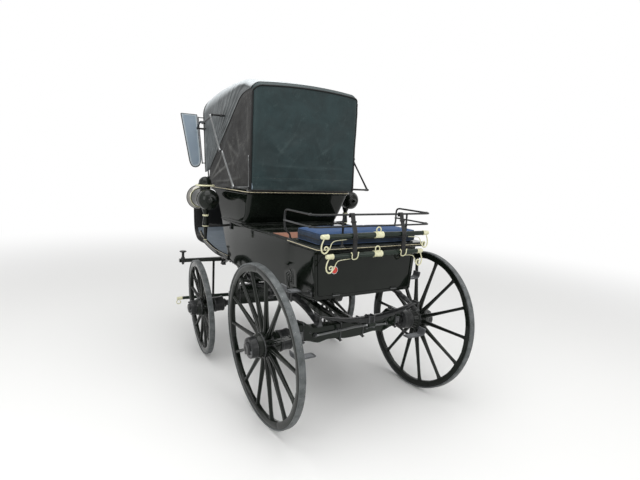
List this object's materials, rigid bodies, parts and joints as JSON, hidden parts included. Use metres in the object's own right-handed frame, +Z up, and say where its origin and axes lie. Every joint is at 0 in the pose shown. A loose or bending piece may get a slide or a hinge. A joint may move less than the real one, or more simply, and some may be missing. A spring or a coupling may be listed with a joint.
{
  "type": "horse-drawn mail phaeton",
  "caption": "Four-wheeled carriage with a hooded driving seat, groom's seat behind, telegraph springs, swivelling fore-carriage, lamps and a leather hood that folds.",
  "frame": {"origin": "on the ground, at the centre of the carriage's box in plan", "axes": "-Y is the driving direction, +Y the back of the carriage, +X the carriage's left side, +Z up"},
  "size_m": [1.7038, 2.7958, 2.5526],
  "materials": {
    "coach_black_wood": "gloss black coach varnish on wood",
    "coach_black_iron": "gloss black paint on iron",
    "tyre_iron": "dusty worn iron",
    "hood_leather": "dull dark green-black enamelled leather",
    "patent_leather": "glossy black patent leather",
    "blue_cloth": "blue wool cloth",
    "wing_leather": "blue-grey lined leather with a black edge",
    "strap_leather": "black harness leather",
    "lamp_glass": "clear glass"
  },
  "bodies": {
    "carriage": {"bar_strap_left": "strap_leather", "bar_strap_right": "strap_leather", "boot": "coach_black_wood", "dash": "patent_leather", "front_cross_spring_back": "coach_black_iron", "front_cross_spring_front": "coach_black_iron", "front_cushion": "blue_cloth", "front_side_spring_left": "coach_black_iron", "front_side_spring_right": "coach_black_iron", "hood_back": "hood_leather", "lamp_glass_left": "lamp_glass", "lamp_glass_right": "lamp_glass", "lamp_left": "coach_black_iron", "lamp_right": "coach_black_iron", "perch": "coach_black_wood", "rear_axle": "coach_black_iron", "rear_axle_bed": "coach_black_wood", "rear_cross_spring_back": "coach_black_iron", "rear_cross_spring_front": "coach_black_iron", "rear_cushion": "blue_cloth", "rear_seat_board": "coach_black_wood", "rear_side_spring_left": "coach_black_iron", "rear_side_spring_right": "coach_black_iron", "rear_spring_stay": "coach_black_iron", "seat_body": "coach_black_wood", "seat_rail": "coach_black_iron", "spare_bar_lower": "coach_black_wood", "spare_bar_upper": "coach_black_wood", "toe_board": "coach_black_wood", "top_carriage": "coach_black_wood", "upper_step_left": "coach_black_iron", "upper_step_right": "coach_black_iron"},
    "fore_carriage": {"front_axle": "coach_black_iron", "front_axle_bed": "coach_black_wood", "futchells": "coach_black_wood", "splinter_bar": "coach_black_wood"},
    "rear_left_wheel": {"rear_wheel_left": "coach_black_wood", "rear_tyre_left": "tyre_iron"},
    "rear_right_wheel": {"rear_wheel_right": "coach_black_wood", "rear_tyre_right": "tyre_iron"},
    "front_left_wheel": {"front_wheel_left": "coach_black_wood", "front_tyre_left": "tyre_iron"},
    "front_right_wheel": {"front_wheel_right": "coach_black_wood", "front_tyre_right": "tyre_iron"},
    "hanging_bar": {"low_bar": "coach_black_wood"},
    "main_hoop": {"main_bow": "coach_black_wood", "hood_top": "hood_leather"},
    "rear_hoop": {"rear_bow": "coach_black_wood"},
    "third_hoop": {"third_bow": "coach_black_wood"},
    "front_hoop": {"front_bow": "coach_black_wood"},
    "lower_prop_left": {"prop_lower_left": "coach_black_iron"},
    "upper_prop_left": {"prop_upper_left": "coach_black_iron"},
    "rear_stay_left": {"stay_rear_left": "coach_black_iron"},
    "front_stay_left": {"stay_front_left": "coach_black_iron"},
    "wing_left": {"hood_wing_left": "wing_leather"},
    "lower_prop_right": {"prop_lower_right": "coach_black_iron"},
    "upper_prop_right": {"prop_upper_right": "coach_black_iron"},
    "rear_stay_right": {"stay_rear_right": "coach_black_iron"},
    "front_stay_right": {"stay_front_right": "coach_black_iron"},
    "wing_right": {"hood_wing_right": "wing_leather"}
  },
  "joints": [
    {"name": "steer", "type": "hinge", "parent": "carriage", "child": "fore_carriage", "pos_m": [0, -0.515, 0.6], "axis": [0, 0, 1], "range_deg": [-19.4, 30.6]},
    {"name": "rear_left_roll", "type": "hinge", "parent": "carriage", "child": "rear_left_wheel", "pos_m": [0.731, 0.825, 0.57289], "axis": [0.9971, 0, -0.0767], "continuous": true},
    {"name": "rear_right_roll", "type": "hinge", "parent": "carriage", "child": "rear_right_wheel", "pos_m": [-0.731, 0.825, 0.57289], "axis": [-0.9971, 0, -0.0767], "continuous": true},
    {"name": "front_left_roll", "type": "hinge", "parent": "fore_carriage", "child": "front_left_wheel", "pos_m": [0.69666, -0.58331, 0.44232], "axis": [0.9923, -0.0973, -0.0767], "continuous": true},
    {"name": "front_right_roll", "type": "hinge", "parent": "fore_carriage", "child": "front_right_wheel", "pos_m": [-0.69666, -0.44669, 0.44232], "axis": [-0.9923, 0.0973, -0.0767], "continuous": true},
    {"name": "low_bar_swing", "type": "hinge", "parent": "fore_carriage", "child": "hanging_bar", "pos_m": [-0.0605, -1.13204, 0.742], "axis": [0.9952, -0.0976, 0], "range_deg": [-12, 12]},
    {"name": "hood_fold", "type": "hinge", "parent": "carriage", "child": "main_hoop", "pos_m": [0, -0.745, 1.64], "axis": [-1, 0, 0], "range_deg": [0, 50], "deforming": ["hood_top", "hood_back"]},
    {"name": "rear_bow_fold", "type": "hinge", "parent": "carriage", "child": "rear_hoop", "pos_m": [0, -0.745, 1.64], "axis": [-1, 0, 0], "range_deg": [0, 37.55]},
    {"name": "third_bow_fold", "type": "hinge", "parent": "carriage", "child": "third_hoop", "pos_m": [0, -0.745, 1.64], "axis": [-1, 0, 0], "range_deg": [0, 51.05]},
    {"name": "front_bow_fold", "type": "hinge", "parent": "carriage", "child": "front_hoop", "pos_m": [0, -0.745, 1.64], "axis": [-1, 0, 0], "range_deg": [0, 54.05]},
    {"name": "lower_prop_left_turn", "type": "hinge", "parent": "carriage", "child": "lower_prop_left", "pos_m": [0, 0.085, 1.606], "axis": [-1, 0, 0], "range_deg": [0, 65.5]},
    {"name": "upper_prop_left_turn", "type": "hinge", "parent": "lower_prop_left", "child": "upper_prop_left", "pos_m": [0, -0.185, 1.8885], "axis": [1, 0, 0], "range_deg": [0, 144.3]},
    {"name": "rear_stay_left_turn", "type": "hinge", "parent": "main_hoop", "child": "rear_stay_left", "pos_m": [0, -0.44782, 2.19891], "axis": [-1, 0, 0], "range_deg": [0, 19.25]},
    {"name": "front_stay_left_turn", "type": "hinge", "parent": "rear_stay_left", "child": "front_stay_left", "pos_m": [0, -0.705, 2.14], "axis": [1, 0, 0], "range_deg": [0, 45.25]},
    {"name": "wing_left_swing", "type": "hinge", "parent": "front_hoop", "child": "wing_left", "pos_m": [0.616, -0.8212, 1.72565], "axis": [0, 0.309, -0.9511], "range_deg": [-10, 85]},
    {"name": "lower_prop_right_turn", "type": "hinge", "parent": "carriage", "child": "lower_prop_right", "pos_m": [0, 0.085, 1.606], "axis": [-1, 0, 0], "range_deg": [0, 65.5]},
    {"name": "upper_prop_right_turn", "type": "hinge", "parent": "lower_prop_right", "child": "upper_prop_right", "pos_m": [0, -0.185, 1.8885], "axis": [1, 0, 0], "range_deg": [0, 144.3]},
    {"name": "rear_stay_right_turn", "type": "hinge", "parent": "main_hoop", "child": "rear_stay_right", "pos_m": [0, -0.44782, 2.19891], "axis": [-1, 0, 0], "range_deg": [0, 19.25]},
    {"name": "front_stay_right_turn", "type": "hinge", "parent": "rear_stay_right", "child": "front_stay_right", "pos_m": [0, -0.705, 2.14], "axis": [1, 0, 0], "range_deg": [0, 45.25]},
    {"name": "wing_right_swing", "type": "hinge", "parent": "front_hoop", "child": "wing_right", "pos_m": [-0.616, -0.8212, 1.72565], "axis": [0, -0.309, 0.9511], "range_deg": [-10, 85]}
  ],
  "couplings": [
    {"joint": "rear_bow_fold", "follows": "hood_fold", "ratio": 0.75},
    {"joint": "third_bow_fold", "follows": "hood_fold", "ratio": 1.02},
    {"joint": "front_bow_fold", "follows": "hood_fold", "ratio": 1.08},
    {"joint": "lower_prop_left_turn", "follows": "hood_fold", "ratio": 1.309},
    {"joint": "upper_prop_left_turn", "follows": "hood_fold", "ratio": 2.885},
    {"joint": "rear_stay_left_turn", "follows": "hood_fold", "ratio": 0.384},
    {"joint": "front_stay_left_turn", "follows": "hood_fold", "ratio": 0.904},
    {"joint": "lower_prop_right_turn", "follows": "hood_fold", "ratio": 1.309},
    {"joint": "upper_prop_right_turn", "follows": "hood_fold", "ratio": 2.885},
    {"joint": "rear_stay_right_turn", "follows": "hood_fold", "ratio": 0.384},
    {"joint": "front_stay_right_turn", "follows": "hood_fold", "ratio": 0.904}
  ]
}
